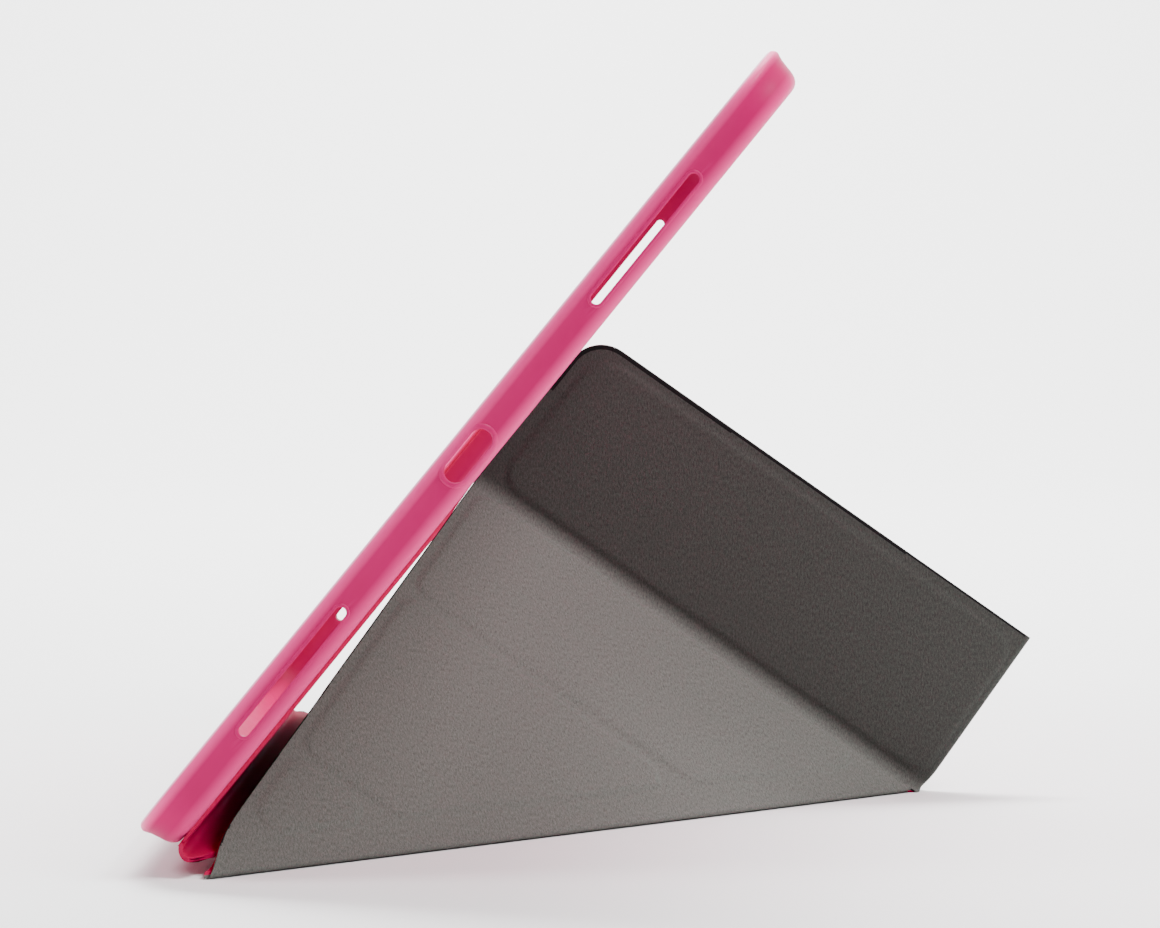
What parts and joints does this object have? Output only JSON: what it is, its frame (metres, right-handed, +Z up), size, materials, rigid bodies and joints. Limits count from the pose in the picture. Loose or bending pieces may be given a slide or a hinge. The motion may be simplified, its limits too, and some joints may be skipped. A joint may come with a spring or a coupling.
{
  "type": "folding tablet case",
  "caption": "Folding tablet case standing in its landscape pose: a moulded tray leaning on a cover folded along two diagonals into a fin.",
  "frame": {"origin": "on the table, under the middle of the standing case, with Y = 0 on its mid-plane", "axes": "+X from the tray's foot towards the fin, +Y along the tray's long side, +Z up"},
  "size_m": [0.2128, 0.287, 0.1825],
  "materials": {
    "moulded_tray": "satin, slightly soft moulding",
    "skin": "smooth coated fabric",
    "lining": "fine brushed microfibre",
    "board": "matt",
    "magnet_steel": "plated"
  },
  "bodies": {
    "tray": {"tray_shell": "moulded_tray", "flap_skin": "skin", "flap_board": "board"},
    "spine": {"spine_upper_skin": "skin", "spine_lower_skin": "skin"},
    "base": {"base_skin": "skin", "base_lining": "lining", "base_board_2": "board", "base_board_3": "board", "base_board_4": "board", "diagonal_fold_near": "lining", "diagonal_fold_far": "lining"},
    "wing_near": {"wing_skin_near": "skin", "wing_lining_near": "lining", "wing_board_2_near": "board", "wing_board_3_near": "board", "wing_board_4_near": "board", "crease_fold_near": "lining"},
    "wing_far": {"wing_skin_far": "skin", "wing_lining_far": "lining", "wing_board_2_far": "board", "wing_board_3_far": "board", "wing_board_4_far": "board", "crease_fold_far": "lining"},
    "fin_near": {"fin_skin_near": "skin", "fin_lining_near": "lining", "fin_board_near": "board", "fin_magnets_near": "magnet_steel"},
    "fin_far": {"fin_skin_far": "skin", "fin_lining_far": "lining", "fin_board_far": "board", "fin_magnets_far": "magnet_steel"}
  },
  "joints": [
    {"name": "wing_near_fold", "type": "hinge", "parent": "base", "child": "wing_near", "pos_m": [0.08235, -0.00283, 0.0012], "axis": [0.7804, 0.6252, 0], "range_deg": [0, 130]},
    {"name": "wing_far_fold", "type": "hinge", "parent": "base", "child": "wing_far", "pos_m": [0.08235, 0.00283, 0.0012], "axis": [0.7804, -0.6252, 0], "range_deg": [-130, 0]},
    {"name": "fin_near_fold", "type": "hinge", "parent": "wing_near", "child": "fin_near", "pos_m": [0.08166, -0.0013, -0.00044], "axis": [-0.8183, -0.0281, 0.5741], "range_deg": [0, 53.41]},
    {"name": "fin_far_fold", "type": "hinge", "parent": "wing_far", "child": "fin_far", "pos_m": [0.08166, 0.0013, -0.00044], "axis": [-0.8183, 0.0281, 0.5741], "range_deg": [-53.41, 0]},
    {"name": "spine_fold", "type": "hinge", "parent": "base", "child": "spine", "pos_m": [-0.0872, 0, 0.0046], "axis": [0, 1, 0], "range_deg": [0, 28.9]},
    {"name": "tray_fold", "type": "hinge", "parent": "spine", "child": "tray", "pos_m": [-0.0951, 0, 0.0052], "axis": [0, -1, 0], "range_deg": [0, 72]}
  ],
  "couplings": [
    {"joint": "wing_far_fold", "follows": "wing_near_fold", "ratio": -1},
    {"joint": "fin_near_fold", "follows": "wing_near_fold", "ratio": 0.4105},
    {"joint": "fin_far_fold", "follows": "wing_near_fold", "ratio": -0.4105},
    {"joint": "spine_fold", "follows": "tray_fold", "ratio": 0.4}
  ]
}
